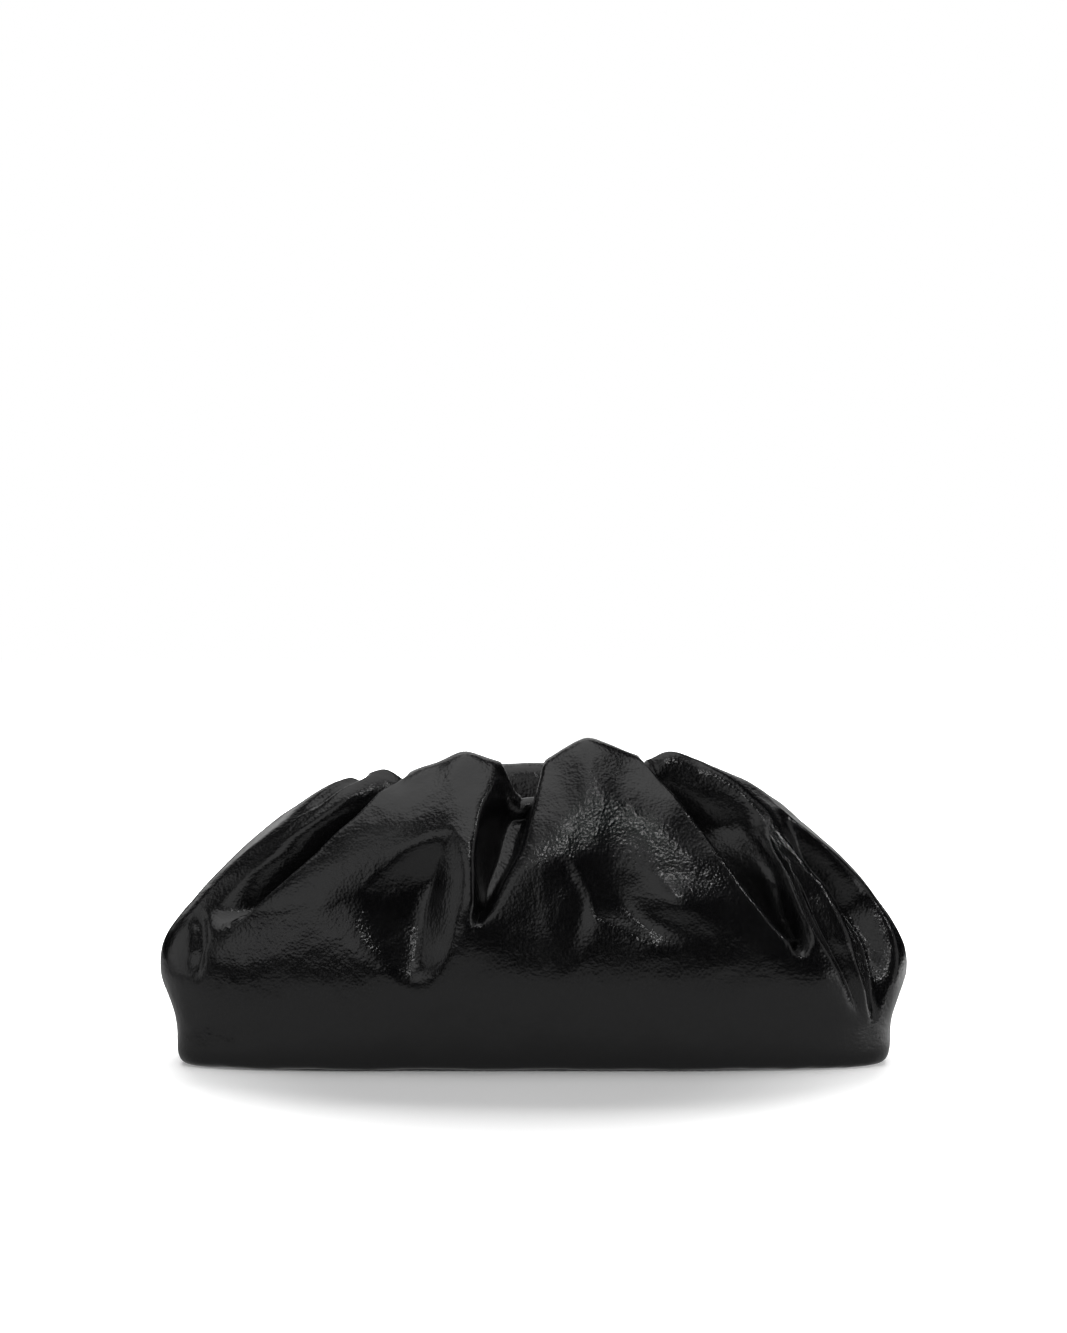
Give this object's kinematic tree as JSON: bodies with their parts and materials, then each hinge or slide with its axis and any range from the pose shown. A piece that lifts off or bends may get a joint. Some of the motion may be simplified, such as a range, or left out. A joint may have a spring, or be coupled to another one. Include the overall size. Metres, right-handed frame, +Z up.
{
  "type": "clutch bag",
  "caption": "Soft pouch-shaped clutch bag of glossy black leather, gathered in deep folds over a hidden straight mouth frame, with a flat base to stand on.",
  "frame": {"origin": "middle of the bag's footprint, on the surface it stands on", "axes": "+X along the bag to the right as the camera sees it, +Y from the front wall to the back wall, +Z up"},
  "size_m": [0.2994, 0.1051, 0.1289],
  "materials": {
    "leather": "glossy",
    "frame_metal": "satin"
  },
  "bodies": {
    "root": {"front_panel": "leather", "back_panel": "leather", "base_panel": "leather", "mouth_frame": "frame_metal"}
  },
  "joints": []
}
